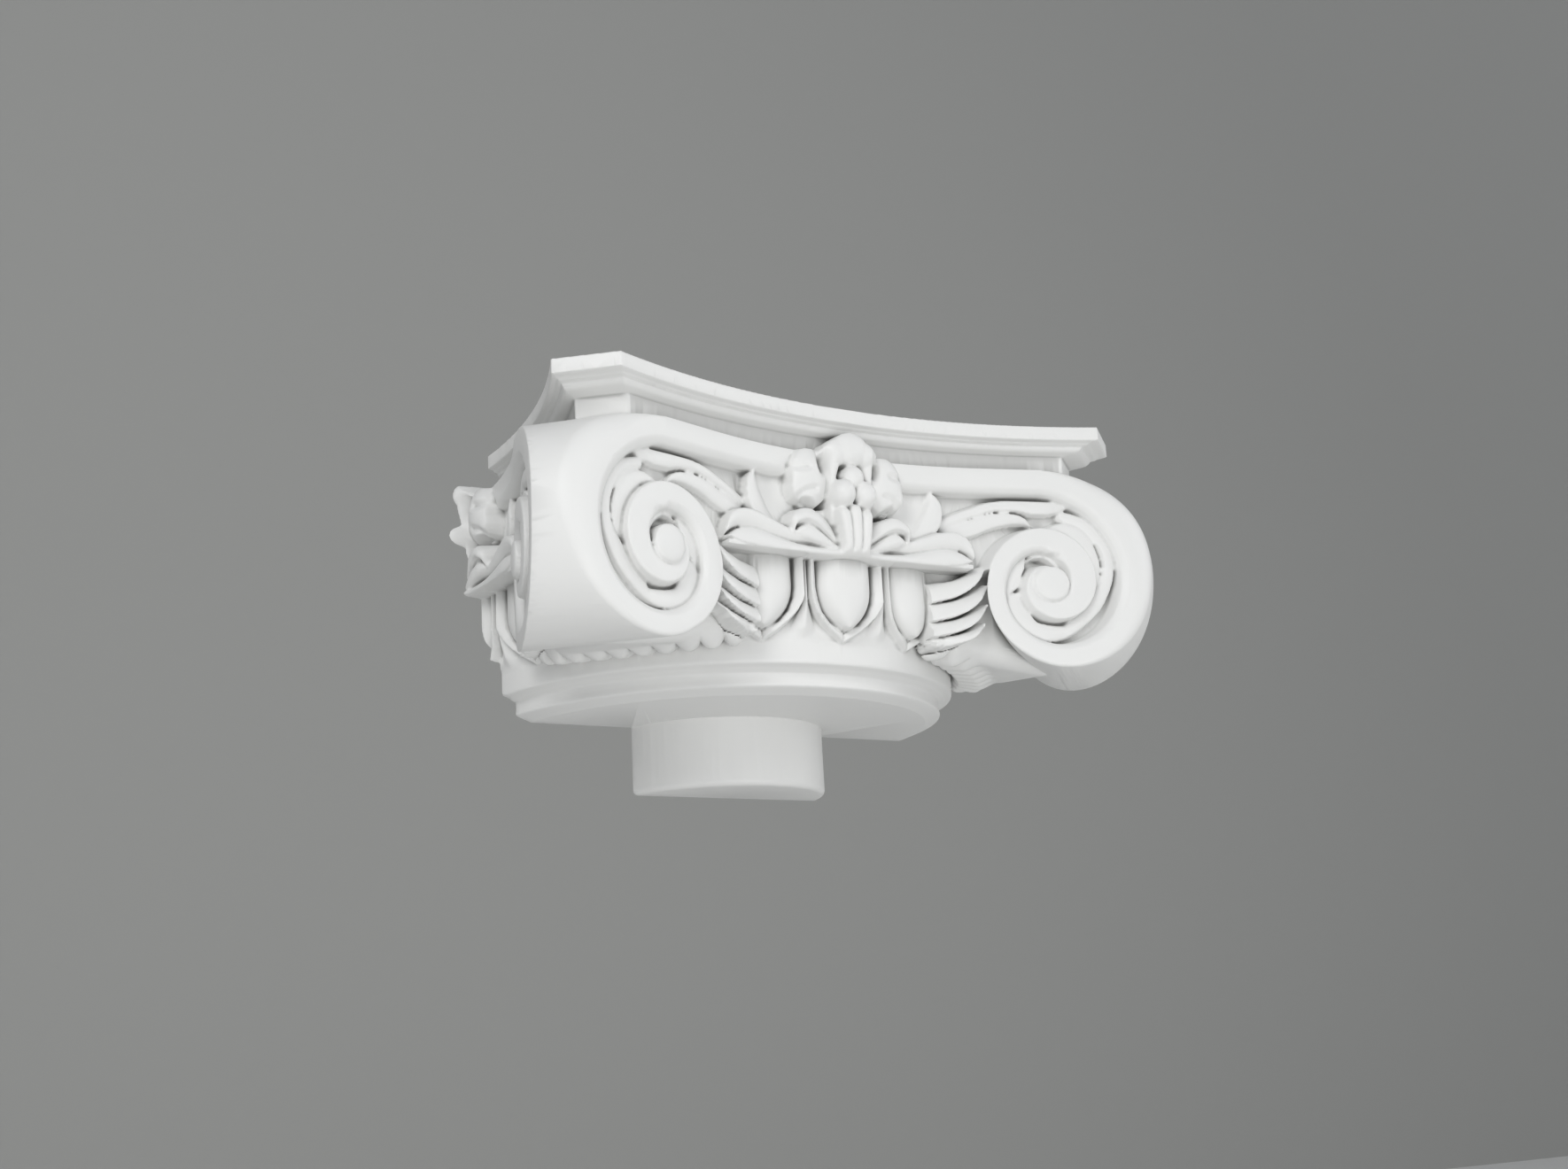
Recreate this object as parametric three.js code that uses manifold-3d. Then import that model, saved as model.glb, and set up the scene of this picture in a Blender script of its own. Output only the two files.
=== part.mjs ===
// Angular Ionic half capital, cast in one piece, cut flat where it meets the wall.
import * as THREE from 'three';
import { mergeVertices } from 'three/addons/utils/BufferGeometryUtils.js';
import Module from 'manifold-3d';

const wasm = await Module();
wasm.setup();

// Driving sizes in millimetres. Heights are above the shoulder that sits on the half column.
// Plan sizes are from the column's axis, which lies a little behind the wall face; the front looks along -Y.
const AXIS_BEHIND_WALL = 9;
const ABACUS_TOP = 121.5;
const ABACUS_FRONT = 151;
const ABACUS_SIDE = 141.6;
const ABACUS_HOLLOW = 24.7;
const CHAMFER_X = 21.3;
const CHAMFER_Y = 19;
const CHAMFER_MITRE = 0.23;
const SPIGOT_RADIUS = 50;
const SPIGOT_LENGTH = 31;
const SPIGOT_EDGE = 2.5;

// The abacus moulding: how far it steps back from the top edge, and the height it does so at.
const ABACUS_PROFILE = [
  [0, ABACUS_TOP], [0, 114.7], [4.6, 114], [5, 111.8], [7, 109.2], [10.5, 107.6], [12.8, 107], [13.5, 100],
];

// The neck and the quarter-round under the eggs: radius and height, from the shoulder up.
const NECK_PROFILE = [
  [0, 0], [98.7, 0], [103.6, 0.9], [106.6, 2], [107, 6.6],
  [108.4, 9], [111, 11], [112.3, 13.6], [112.3, 21.5], [115.4, 32], [116.6, 45], [116.6, 60], [0, 60],
];

// The face that carries the volutes is bowed inwards at the middle and straight towards the corners.
const FACE_MID = 120.5;
const FACE_BOW = 0.0022;
const FACE_STRAIGHT_FROM = 70;
const FACE_SLOPE = 2 * FACE_BOW * FACE_STRAIGHT_FROM;
const CHANNEL_DEPTH = 7;
const CANALIS_TOP = 102;
const CANALIS_RIM_BELOW = 90.2;
const SHELF_TOP = 59;
const SHELF_BELOW = 54.6;
const SHELF_FRONT = 125.8;
const GROUND_BELOW_PALMETTE = 24;
const GROUND_BELOW_SCROLL = 17;

// The volute: its eye, and the radii of its raised band at each eighth of a turn from the top, inwards.
const EYE_X = 95.7;
const EYE_Z = 48.8;
const EYE_RADIUS = 7.8;
const BAND_OUTER = [
  52.6, 53, 45.2, 41.2, 37.4, 33, 29, 27, 25.9, 23.6, 21.1, 18.6, 16, 13.4, 11, 9.5, 8.4,
];
const BAND_INNER = [41.4, 37.2, 33, 29.8, 26.4, 22.4, 18.5, 16.3, 14.3, 11.4, 8.9, 8.1, 7.9];
const SCROLL_STEPS = 5;
const CHANNEL_STEPS = 3;

const EGG_PITCH = THREE.MathUtils.degToRad(18.8);
const EGG_TIP = 24.2;
const EGG_HALF_WIDTH = 14.2;
const EGG_PLACES = [-1, 0, 1];
const DART_PLACES = [-0.5, 0.5];

// How far the rim's face stands in front of the axis at x.
function faceDepth(x) {
  const along = Math.abs(x);
  const bowed = Math.min(along, FACE_STRAIGHT_FROM);
  return FACE_MID + FACE_BOW * bowed * bowed + FACE_SLOPE * (along - bowed);
}

// A point in front of the face: x, height, and how far it stands proud of the rim.
const onFace = (x, z, proud = 0) => new THREE.Vector3(x, -faceDepth(x) - proud, z);

// A closed geometry as a solid that can be joined and cut. One that faces inwards is turned out.
function solid(geometry) {
  const bare = geometry.clone();
  bare.deleteAttribute('normal');
  bare.deleteAttribute('uv');
  const merged = mergeVertices(bare, 1e-4);
  const vertProperties = new Float32Array(merged.attributes.position.array);
  const triVerts = new Uint32Array(merged.index.array);
  const body = new wasm.Manifold(new wasm.Mesh({ numProp: 3, vertProperties, triVerts }));
  if (body.volume() > 0) return body;
  return new wasm.Manifold(new wasm.Mesh({ numProp: 3, vertProperties, triVerts: triVerts.reverse() }));
}

const join = (solids) => solids.reduce((all, one) => all.add(one));
const bothSides = (half) => half.add(half.mirror([1, 0, 0]));

function extruded(points, depth) {
  return new THREE.ExtrudeGeometry(new THREE.Shape(points), { depth, bevelEnabled: false });
}

// An upright body with the given plan, from one height to another.
const prism = (points, bottom, top) => solid(extruded(points, top - bottom).translate(0, 0, bottom));

// A body turned about the column's axis from radius and height pairs.
function turned(profile, segments) {
  const points = profile.map(([radius, z]) => new THREE.Vector2(radius, z));
  return solid(new THREE.LatheGeometry(points, segments).rotateX(Math.PI / 2));
}

// A body stacked from rings of the same number of points, closed with a lid at each end.
function stack(rings) {
  const count = rings[0].length;
  const positions = rings.flat().flatMap((p) => [p.x, p.y, p.z]);
  const faces = [];
  for (let row = 0; row + 1 < rings.length; row++) {
    for (let i = 0; i < count; i++) {
      const a = row * count + i;
      const b = row * count + ((i + 1) % count);
      faces.push(a, b, b + count, a, b + count, a + count);
    }
  }
  const top = (rings.length - 1) * count;
  const lid = (ring) => THREE.ShapeUtils.triangulateShape(ring.map((p) => new THREE.Vector2(p.x, p.y)), []);
  for (const [a, b, c] of lid(rings[0])) faces.push(c, b, a);
  for (const [a, b, c] of lid(rings.at(-1))) faces.push(top + a, top + b, top + c);
  const geometry = new THREE.BufferGeometry();
  geometry.setAttribute('position', new THREE.Float32BufferAttribute(positions, 3));
  geometry.setIndex(faces);
  return solid(geometry);
}

// One hollowed edge of the abacus in plan: an arc from one corner to the next, set back by a moulding step.
function hollowEdge(halfLength, cornerDepth, setback, steps) {
  const radius = (halfLength ** 2 + ABACUS_HOLLOW ** 2) / (2 * ABACUS_HOLLOW) + setback;
  const centre = cornerDepth - ABACUS_HOLLOW + radius - setback;
  const reach = Math.asin((halfLength - setback * CHAMFER_MITRE) / radius);
  return Array.from({ length: steps + 1 }, (_, i) => {
    const angle = reach * (2 * i / steps - 1);
    return [radius * Math.sin(angle), centre - radius * Math.cos(angle)];
  });
}

function abacus() {
  const wall = -AXIS_BEHIND_WALL;
  const steps = 12;
  const hiddenHalf = 60;
  const rings = ABACUS_PROFILE.slice().reverse().map(([setback, z]) => {
    const front = hollowEdge(ABACUS_SIDE - CHAMFER_X, ABACUS_FRONT, setback, steps);
    const side = hollowEdge(ABACUS_FRONT + wall - CHAMFER_Y, ABACUS_SIDE, setback, steps);
    const right = side.slice(0, steps / 2 + 1).map(([along, out]) => [out, wall + along]);
    const left = right.slice().reverse().map(([x, y]) => [-x, y]);
    const back = [[hiddenHalf, 0], [-hiddenHalf, 0]];
    const outline = [...front.map(([x, depth]) => [x, -depth]), ...right, ...back, ...left];
    return outline.map(([x, y]) => new THREE.Vector3(x, y, z));
  });
  return stack(rings);
}

const neck = () => turned(NECK_PROFILE, 40);

function spigot() {
  const insideNeck = 10;
  return turned([
    [0, -SPIGOT_LENGTH], [SPIGOT_RADIUS - SPIGOT_EDGE, -SPIGOT_LENGTH],
    [SPIGOT_RADIUS, SPIGOT_EDGE - SPIGOT_LENGTH], [SPIGOT_RADIUS, insideNeck], [0, insideNeck],
  ], 24);
}

// The radius of a band edge after a number of quarter turns.
function bandRadius(radii, quarters) {
  const curve = new THREE.SplineCurve(radii.map((radius, i) => new THREE.Vector2(i, radius)));
  return curve.getPoint(THREE.MathUtils.clamp(2 * quarters / (radii.length - 1), 0, 1)).y;
}

// A point of the volute at a number of quarter turns from the top, going outwards and down first.
function spiralPoint(quarters, radius) {
  const angle = quarters * Math.PI / 2;
  return new THREE.Vector2(EYE_X + radius * Math.sin(angle), EYE_Z + radius * Math.cos(angle));
}

function spiralRun(radii, from, to, stepsPerQuarter) {
  const steps = Math.round(Math.abs(to - from) * stepsPerQuarter);
  return Array.from({ length: steps + 1 }, (_, i) => {
    const quarters = THREE.MathUtils.lerp(from, to, i / steps);
    return spiralPoint(quarters, bandRadius(radii, quarters));
  });
}

// A plan with four like sides that follow the bowed face from -reach to +reach, pushed out by a given amount.
function fourFacedPlan(reach, steps, proud) {
  const points = [];
  for (let side = 0; side < 4; side++) {
    for (let i = 0; i <= steps; i++) {
      const x = reach * (2 * i / steps - 1);
      const point = new THREE.Vector2(x, -faceDepth(x) - proud);
      points.push(point.rotateAround(new THREE.Vector2(), side * Math.PI / 2));
    }
  }
  return points;
}

// The star that the four faces make when they run out to where they meet at the corners.
function star(proud) {
  const meeting = (FACE_MID - FACE_BOW * FACE_STRAIGHT_FROM ** 2 + proud) / (1 - FACE_SLOPE);
  const blunted = 0.2;
  return prism(fourFacedPlan(meeting - blunted, 10, proud), 0, ABACUS_TOP);
}

// The scroll of one corner runs square across the corner's diagonal, from one face to the other.
function cornerScroll() {
  const onDiagonal = (p) => new THREE.Vector2((p.x + faceDepth(p.x)) * Math.SQRT1_2, p.y);
  const outline = spiralRun(BAND_OUTER, 0, 4, SCROLL_STEPS).map(onDiagonal);
  const length = 140;
  const across = new THREE.Matrix4().makeBasis(
    new THREE.Vector3(1, -1, 0).normalize(),
    new THREE.Vector3(0, 0, 1),
    new THREE.Vector3(-1, -1, 0).normalize(),
  );
  const scroll = solid(extruded(outline, length).translate(0, 0, -length / 2).applyMatrix4(across));
  return scroll.intersect(star(0));
}

// The block behind the straight part of the rim, as wide as the distance between the eyes.
const canalisBlock = () => prism(fourFacedPlan(EYE_X, 6, 0), SHELF_BELOW, CANALIS_TOP);

// The sunk channel of one half of a face: it runs out under the rim and turns in towards the eye.
function channelCutter() {
  const leavesShelf = 3.28;
  const deepest = 7.6;
  const eyeReached = 6;
  const outerRun = spiralRun(BAND_OUTER, leavesShelf, deepest, CHANNEL_STEPS);
  outerRun[0].y = SHELF_TOP;
  const outline = [
    new THREE.Vector2(0, SHELF_TOP),
    ...outerRun,
    ...spiralRun(BAND_INNER, eyeReached, 0, CHANNEL_STEPS),
    new THREE.Vector2(0, CANALIS_RIM_BELOW),
  ];
  const beyondFace = 120;
  return solid(extruded(outline, beyondFace).rotateX(Math.PI / 2).translate(0, -beyondFace / 2, 0));
}

// A leaf, lobe or egg: a ball drawn out along a curve, with its own width, depth and outline.
function lobe({ path, width, depth, outline = roundEnds, radial = false, around = 5, along = 4 }) {
  const curve = new THREE.CatmullRomCurve3(path);
  const geometry = new THREE.SphereGeometry(1, around, along);
  const place = geometry.attributes.position;
  const ball = new THREE.Vector3();
  for (let i = 0; i < place.count; i++) {
    ball.fromBufferAttribute(place, i);
    const t = Math.acos(THREE.MathUtils.clamp(ball.y, -1, 1)) / Math.PI;
    const ring = Math.hypot(ball.x, ball.z) || 1;
    const swell = Math.abs(ball.y) > 0.9999 ? 0 : outline(t);
    const tangent = curve.getTangent(t);
    const centre = curve.getPoint(t);
    const outward = radial ? new THREE.Vector3(centre.x, centre.y, 0) : new THREE.Vector3(0, -1, 0);
    outward.normalize();
    outward.addScaledVector(tangent, -outward.dot(tangent)).normalize();
    const sideways = new THREE.Vector3().crossVectors(outward, tangent);
    centre.addScaledVector(sideways, ball.x / ring * swell * width);
    centre.addScaledVector(outward, ball.z / ring * swell * depth);
    place.setXYZ(i, centre.x, centre.y, centre.z);
  }
  return solid(geometry);
}

const roundEnds = (t) => Math.sin(Math.PI * t) ** 0.6;
const eggShape = (t) => Math.min(1, 3 * t) ** 0.5 * Math.min(1, 2.56 * (1 - t)) ** 0.45;

// Points given as x, height and proud of the rim, as a path on the face.
const facePath = (...points) => points.map(([x, z, proud]) => onFace(x, z, proud));

// A point at an angle round the neck, counted from the front towards +X.
function roundNeck(angle, radius, z) {
  return new THREE.Vector3(radius * Math.sin(angle), -radius * Math.cos(angle), z);
}

// A lobe that follows the sunk channel of the volute, over part of the channel's width.
function channelLobe({ from, to, inner, outer, proud }) {
  const steps = 4;
  const path = Array.from({ length: steps + 1 }, (_, i) => {
    const quarters = THREE.MathUtils.lerp(from, to, i / steps);
    const inside = bandRadius(BAND_OUTER, quarters + 4);
    const outside = bandRadius(BAND_INNER, quarters);
    const middle = THREE.MathUtils.lerp(inside, outside, (inner + outer) / 2);
    const point = spiralPoint(quarters, middle);
    return onFace(point.x, point.y, proud);
  });
  const halfQuarters = (from + to) / 2;
  const channel = bandRadius(BAND_INNER, halfQuarters) - bandRadius(BAND_OUTER, halfQuarters + 4);
  return lobe({ path, width: channel * (outer - inner) / 2, depth: 5.5 });
}

// The husk that grows out of the flower, runs along the channel and winds into the volute.
function husk() {
  return join([
    lobe({ path: facePath([44, 70, -6], [62, 80, -5], [88, 85, -5], [111, 84, -6]), width: 4.6, depth: 5.5 }),
    lobe({ path: facePath([44, 68, -6], [60, 75, -5], [78, 79, -4.5], [92, 77.5, -6]), width: 4, depth: 5 }),
    channelLobe({ from: 0.05, to: 1.1, inner: 0, outer: 0.55, proud: -5 }),
    channelLobe({ from: 0.2, to: 1.85, inner: 0.5, outer: 1, proud: -5.5 }),
    channelLobe({ from: 1.2, to: 3.1, inner: 0, outer: 0.9, proud: -6 }),
  ]);
}

// The crescent leaf beside the flower, the long leaf lying on the shelf and the small curled leaf.
function flowerLeaves() {
  const crescent = facePath([30, 64, -5], [42, 71, -2], [46, 80, -1], [43.5, 91, -3]);
  const long = facePath([8, 60, -1], [28, 63.5, 0], [48, 65, 0], [63, 58, -3]);
  const curled = facePath([8, 60, 2], [17, 69, 5], [26, 70.5, 5], [30, 64, 2]);
  return join([
    lobe({ path: crescent, width: 3.6, depth: 4.5 }),
    lobe({ path: long, width: 5.4, depth: 4.8 }),
    lobe({ path: curled, width: 4, depth: 4 }),
  ]);
}

// One side of the open flower: two cupped petals, an outer seed and an outer rib of the stem.
function flowerSide() {
  return join([
    lobe({ path: facePath([8, 84, 0], [17, 93, 3], [26, 99, 0]), width: 8.5, depth: 4.5 }),
    lobe({ path: facePath([7, 82, 1], [18, 84, 3], [29, 88, 0]), width: 8, depth: 4 }),
    lobe({ path: facePath([6.4, 77, 7], [6.8, 85, 10.5], [6, 92, 6]), width: 6.2, depth: 6.5 }),
    lobe({ path: facePath([6, 54, 3], [8.5, 64, 8], [9, 72, 10], [7, 80, 6]), width: 3.8, depth: 8 }),
  ]);
}

function flowerMiddle() {
  return join([
    lobe({ path: facePath([0, 90, -4], [0, 102, 3], [0, 112.5, 1]), width: 14.5, depth: 9, around: 7 }),
    lobe({ path: facePath([0, 84, 5], [0, 91.5, 9], [0, 99, 6]), width: 6.5, depth: 6 }),
    lobe({ path: facePath([0, 54, 1], [0, 80, 2], [0, 102, 0]), width: 18, depth: 9.5 }),
    lobe({ path: facePath([0, 55.5, 5], [0, 66, 10], [0, 74, 12], [0, 82, 8]), width: 3.6, depth: 5 }),
  ]);
}

// The half palmette that fills the corner between the outer egg and the scroll.
function palmette() {
  const spread = [
    [[67, 58, -7], [57, 48.5, -6], [44, 43.5, -4]],
    [[68, 47, -8], [58, 38.5, -7], [44.5, 35.5, -6]],
    [[68, 37, -9], [59, 30, -8], [46, 28.5, -8]],
    [[66, 27, -12], [58, 23, -10], [50, 22.5, -10]],
  ];
  const lobes = spread.map((points) => lobe({ path: facePath(...points), width: 4.8, depth: 7, along: 3 }));
  return join(lobes);
}

// The plain ground behind a palmette fills the corner between the bell and the scroll. It is flat below,
// and reaches lowest next to the scroll.
function cornerGround() {
  const wing = (from) => [[from, from + 40], [from, 114], [78, 117], [98, 112], [108, 108]];
  return join([[46, GROUND_BELOW_PALMETTE], [64, GROUND_BELOW_SCROLL]].map(([from, below]) => {
    const half = wing(from);
    const mirrored = half.slice(0, -1).reverse().map(([x, depth]) => [depth, x]);
    const plan = [...half, ...mirrored].map(([x, depth]) => new THREE.Vector2(x, -depth));
    return prism(plan, below, SHELF_TOP);
  }));
}

// The low leaves round the neck that show under the scroll, at angles from the front.
function leavesUnderScroll() {
  const line = [[113, 38], [115, 28], [112.5, 18]];
  return join([33, 45, 57].map((degrees) => {
    const path = line.map(([radius, z]) => roundNeck(THREE.MathUtils.degToRad(degrees), radius, z));
    return lobe({ path, width: 9, depth: 4, radial: true, along: 3 });
  }));
}

// Three eggs to a face, each in a raised shell that runs down to a point, with a dart between two shells.
function eggs() {
  return join(EGG_PLACES.map((place) => {
    const line = [[111, 70], [112, 54.7], [112, 39.5], [109.5, EGG_TIP]];
    const path = line.map(([radius, z]) => roundNeck(place * EGG_PITCH, radius, z));
    const size = { width: EGG_HALF_WIDTH, depth: 11.4, around: 8, along: 5 };
    return lobe({ path, outline: eggShape, radial: true, ...size });
  }));
}

// A shell's line is given by its share of half the pitch, its radius and its height, from the top down.
function eggShells() {
  const side = [[1, 119, 62], [1, 119, 50], [1, 118, 39], [0.72, 115.5, 30], [0.34, 112.5, 23.6]];
  const mirrored = side.slice().reverse().map(([share, radius, z]) => [-share, radius, z]);
  const line = [...side, [0, 111, 20.6], ...mirrored];
  const halfPitch = EGG_PITCH / 2 - 0.02;
  const evenThickness = (t) => Math.min(1, 20 * t * (1 - t));
  return join(EGG_PLACES.map((place) => {
    const middle = place * EGG_PITCH;
    const path = line.map(([share, radius, z]) => roundNeck(middle - share * halfPitch, radius, z));
    const size = { width: 2.2, depth: 4.4, around: 4, along: 8 };
    return lobe({ path, outline: evenThickness, radial: true, ...size });
  }));
}

function darts() {
  const line = [[117, 41], [113.5, 29], [110.5, 18]];
  return join(DART_PLACES.map((place) => {
    const path = line.map(([radius, z]) => roundNeck(place * EGG_PITCH, radius, z));
    return lobe({ path, width: 3, depth: 5, radial: true, around: 4, along: 3 });
  }));
}

// The flat shelf over the eggs, which the flower's stem and the long leaves stand on.
function shelf() {
  const half = 62;
  const back = -90;
  const bow = 2;
  const front = Array.from({ length: 9 }, (_, i) => {
    const share = i / 4 - 1;
    return new THREE.Vector2(half * share, -SHELF_FRONT - bow * share * share);
  });
  const outline = [...front, new THREE.Vector2(half, back), new THREE.Vector2(-half, back)];
  return prism(outline, SHELF_BELOW, SHELF_TOP);
}

const eye = () => lobe({
  path: facePath([EYE_X, EYE_Z + EYE_RADIUS, 0], [EYE_X, EYE_Z - EYE_RADIUS, 0]),
  width: EYE_RADIUS,
  depth: 3,
  outline: (t) => Math.sin(Math.PI * t),
  around: 8,
});

// What one face of the capital has cut from the plain block, and what is carved on it.
const faceCuts = bothSides(channelCutter()).subtract(star(-CHANNEL_DEPTH));
const halfFace = join([husk(), flowerLeaves(), flowerSide(), palmette(), eye()]);
const faceCarving = join([shelf(), flowerMiddle(), bothSides(halfFace)]);
const onEachFace = (one) => join([-90, 0, 90].map((turn) => one.rotate([0, 0, turn])));

const block = canalisBlock().add(bothSides(cornerScroll())).subtract(onEachFace(faceCuts));
const bell = neck().add(onEachFace(join([eggs(), eggShells(), darts()])));
const corner = cornerGround().add(leavesUnderScroll());
const carving = onEachFace(faceCarving).add(bothSides(corner));
const wholeCapital = join([abacus(), block, bell, spigot(), carving]);

// The wall plane cuts off everything behind it, and the part then moves to have its wall face at y = 0.
const cutter = new THREE.BoxGeometry(400, 200, 400).translate(0, 100 - AXIS_BEHIND_WALL, 0);
const halfCapital = wholeCapital.subtract(solid(cutter)).translate([0, AXIS_BEHIND_WALL, 0]);

const cut = halfCapital.getMesh();
const geometry = new THREE.BufferGeometry();
geometry.setAttribute('position', new THREE.BufferAttribute(cut.vertProperties, 3));
geometry.setIndex(new THREE.BufferAttribute(cut.triVerts, 1));
geometry.computeVertexNormals();

const castWhite = new THREE.MeshStandardMaterial({ color: 0xecebe7, roughness: 0.45, metalness: 0 });
const capital = new THREE.Mesh(geometry, castWhite);
capital.name = 'half_capital';

const group = new THREE.Group();
group.name = 'ionic_half_capital';
group.add(capital);

export default group;
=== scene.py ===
# The angular Ionic half capital, dressed around its fixed frame.
import math

import bpy
import numpy as np
from mathutils import Matrix, Vector


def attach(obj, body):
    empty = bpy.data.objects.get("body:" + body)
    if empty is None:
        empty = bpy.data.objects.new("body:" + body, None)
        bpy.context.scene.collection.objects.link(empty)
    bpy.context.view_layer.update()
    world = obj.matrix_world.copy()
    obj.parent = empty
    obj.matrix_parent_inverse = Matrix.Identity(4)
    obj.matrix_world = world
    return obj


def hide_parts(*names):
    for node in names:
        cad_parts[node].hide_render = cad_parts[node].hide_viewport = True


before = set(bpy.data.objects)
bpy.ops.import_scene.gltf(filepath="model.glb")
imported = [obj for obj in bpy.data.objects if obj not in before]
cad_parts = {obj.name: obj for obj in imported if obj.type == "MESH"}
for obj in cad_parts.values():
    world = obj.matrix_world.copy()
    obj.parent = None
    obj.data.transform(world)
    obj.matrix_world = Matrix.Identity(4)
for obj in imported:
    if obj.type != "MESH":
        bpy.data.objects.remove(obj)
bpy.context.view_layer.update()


# The camera. It stands low in front of the wall, left of the capital, and looks up at it a little.
# It is turned to the right of square on, and rolled by a few degrees.
CAMERA_PLACE = Vector((-0.4425, -0.7732, -0.1528))
CAMERA_TURN = math.radians(31.8)
CAMERA_RISE = math.radians(14.04)
CAMERA_ROLL = math.radians(3.02)
LENS, SENSOR = 44.2, 36

looking = Vector((math.sin(CAMERA_TURN) * math.cos(CAMERA_RISE),
                  math.cos(CAMERA_TURN) * math.cos(CAMERA_RISE),
                  math.sin(CAMERA_RISE)))
level_right = Vector((math.cos(CAMERA_TURN), -math.sin(CAMERA_TURN), 0))
level_up = level_right.cross(looking)
right = level_right * math.cos(CAMERA_ROLL) - level_up * math.sin(CAMERA_ROLL)
up = level_right * math.sin(CAMERA_ROLL) + level_up * math.cos(CAMERA_ROLL)
camera_data = bpy.data.cameras.new("camera")
camera_data.lens = LENS
camera_data.sensor_width = SENSOR
camera_data.clip_start = 0.01
camera = bpy.data.objects.new("camera", camera_data)
camera.matrix_world = Matrix.Translation(CAMERA_PLACE) @ Matrix((right, up, -looking)).transposed().to_4x4()
bpy.context.scene.collection.objects.link(camera)
bpy.context.scene.camera = camera


# The mould that the capital is cast in. Its hollow is worked out on an even lattice, from the column's
# axis out to the right: the left half is its mirror image, and the side face repeats the front face.
# Sizes are millimetres from the column's axis and from the shoulder, as a modeller cuts them.
MM = 0.001
STEP = 0.5
AXIS_BEHIND_WALL = 9.0
REACH, LOWEST, HIGHEST = 157.0, -32.5, 123.5

across = (np.arange(int(REACH / STEP)) - 0.5) * STEP
height = LOWEST + np.arange(int((HIGHEST - LOWEST) / STEP) + 1) * STEP
first_depth = int(AXIS_BEHIND_WALL / STEP) - 1
depth = across[first_depth:]
# A face as it is seen from the front: how far out from the middle each point lies, and how high.
FX, FZ = np.meshgrid(across, height, indexing="ij")


# The plan of the faces. Each is bowed in at the middle, like the abacus over it, and runs out
# straight to the corners. The depth is how far the face stands in front of the column's axis.
FACE_MID, FACE_BOW, STRAIGHT_FROM = 120.5, 0.0022, 70.0
FACE_SLOPE = 2 * FACE_BOW * STRAIGHT_FROM


def face_depth(x):
    bowed = np.minimum(np.abs(x), STRAIGHT_FROM)
    return FACE_MID + FACE_BOW * bowed ** 2 + FACE_SLOPE * (np.abs(x) - bowed)


# The volute: a raised flat band that winds in to a round eye, beside a channel sunk under a sloped lip.
# It goes on in the straight rim under the abacus. Heights are in front of the face, and the band's
# radii stand at each eighth of a turn from the top, going outwards and down first.
EYE_X, EYE_Z, EYE_RADIUS, EYE_DOME = 95.7, 48.8, 8.2, 2.2
BAND_OUTER = [52.6, 53.2, 45.6, 41.2, 37.4, 33, 29, 27, 25.9, 23.6, 21.1, 18.6, 16, 13.4, 11, 9.5, 8.6]
BAND_INNER = [41.4, 37.2, 33, 29.8, 26.4, 22.4, 18.5, 16.3, 14.3, 11.4, 8.9, 8.1, 7.9]
CHANNEL_DEPTH, CHANNEL_WALL = 8.2, 0.7
RIM_TOP, RIM_BELOW = 102.0, 90.2
LIP, LIP_DROP = 3.4, 2.6
INNER_LIP, INNER_LIP_DROP = 1.8, 1.0
BAND_ROUNDING = 0.8
OUTLINE_QUARTERS = 3.6
NOTHING_THERE = -60.0


def ramp(value, start, end):
    """0 at start, 1 at end, easing in and out."""
    t = np.clip((value - start) / (end - start), 0, 1)
    return t * t * (3 - 2 * t)


def nearest(line, x, z):
    """How far along a line each point's nearest place lies, from 0 to 1, and how far off it is,
    counted below 0 on the line's right."""
    best = np.full(x.shape, np.inf)
    along = np.zeros(x.shape)
    side = np.ones(x.shape)
    for i, (a, b) in enumerate(zip(line[:-1], line[1:])):
        ex, ez = b - a
        t = np.clip(((x - a[0]) * ex + (z - a[1]) * ez) / (ex * ex + ez * ez + 1e-9), 0, 1)
        dx, dz = x - a[0] - t * ex, z - a[1] - t * ez
        far = dx * dx + dz * dz
        near = far < best
        best = np.where(near, far, best)
        along = np.where(near, (i + t) / (len(line) - 1), along)
        side = np.where(near, np.where(ex * dz - ez * dx >= 0, 1.0, -1.0), side)
    return along, side * np.sqrt(best)


def band_radius(radii, quarters):
    """The band's radius at a number of quarter turns, running smoothly through the radii at each eighth."""
    radii = np.asarray(radii)
    slope = np.gradient(radii)
    eighths = np.clip(2 * quarters, 0, len(radii) - 1.001)
    i = eighths.astype(int)
    u = eighths - i
    return ((1 + 2 * u) * (1 - u) ** 2 * radii[i] + u * (1 - u) ** 2 * slope[i]
            + u * u * (3 - 2 * u) * radii[i + 1] + u * u * (u - 1) * slope[i + 1])


def step_down(inside, lip=0.1, drop=0.0):
    """The height of a band's edge: a sloped lip, then a steep wall down to the channel's floor."""
    lipped = -drop * (1 - np.clip(inside / lip, 0, 1)) ** 1.5
    return np.where(inside > 0, lipped, -drop - (CHANNEL_DEPTH - drop) * ramp(-inside, 0, CHANNEL_WALL))


def rounded_edge(inside, size):
    """How far a rounded arris falls back at a distance inside the edge."""
    t = np.clip(1 - inside / size, 0, 1)
    return -size * (1 - np.sqrt(1 - t * t))


def dimple(x, z, half_width, half_height):
    """A soft hollow: 1 at its middle, fading to 0 around it."""
    return np.exp(-((FX - x) / half_width) ** 2 - ((FZ - z) / half_height) ** 2)


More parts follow.
